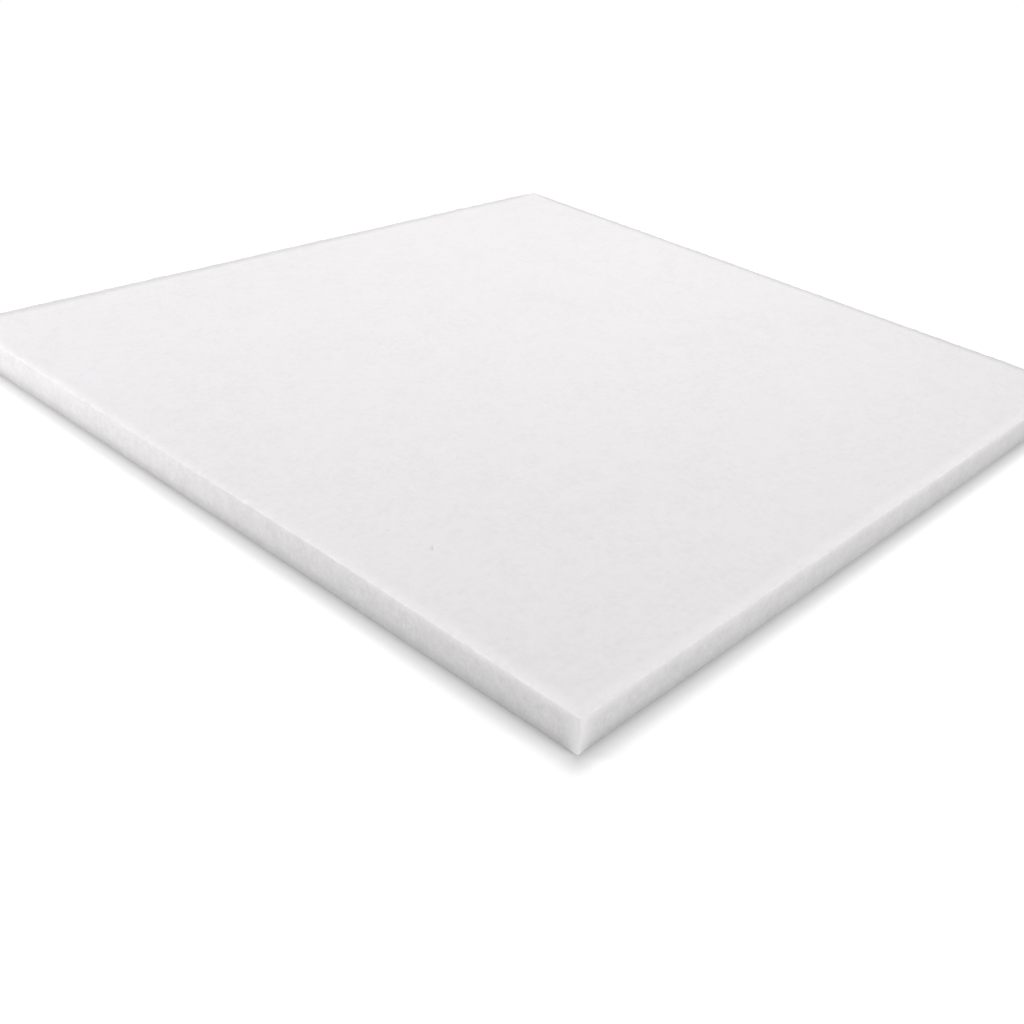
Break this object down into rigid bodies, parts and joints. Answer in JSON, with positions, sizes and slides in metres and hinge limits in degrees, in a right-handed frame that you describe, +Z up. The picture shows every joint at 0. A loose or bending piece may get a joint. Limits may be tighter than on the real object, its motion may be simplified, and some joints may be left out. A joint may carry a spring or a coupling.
{
  "type": "foam block",
  "caption": "Flat square slab of soft fine-celled foam with softly rolled edges and slightly rounded upright corners.",
  "frame": {"origin": "middle of the underside, on the surface that the slab lies on", "axes": "+Z up through the thickness, +X and +Y along two sides of the square, both towards its blunter corner"},
  "size_m": [0.61, 0.61, 0.025],
  "materials": {
    "foam": "off-white open-celled flexible foam, dull, with fine pores on every face"
  },
  "bodies": {
    "root": {"foam_block": "foam"}
  },
  "joints": []
}
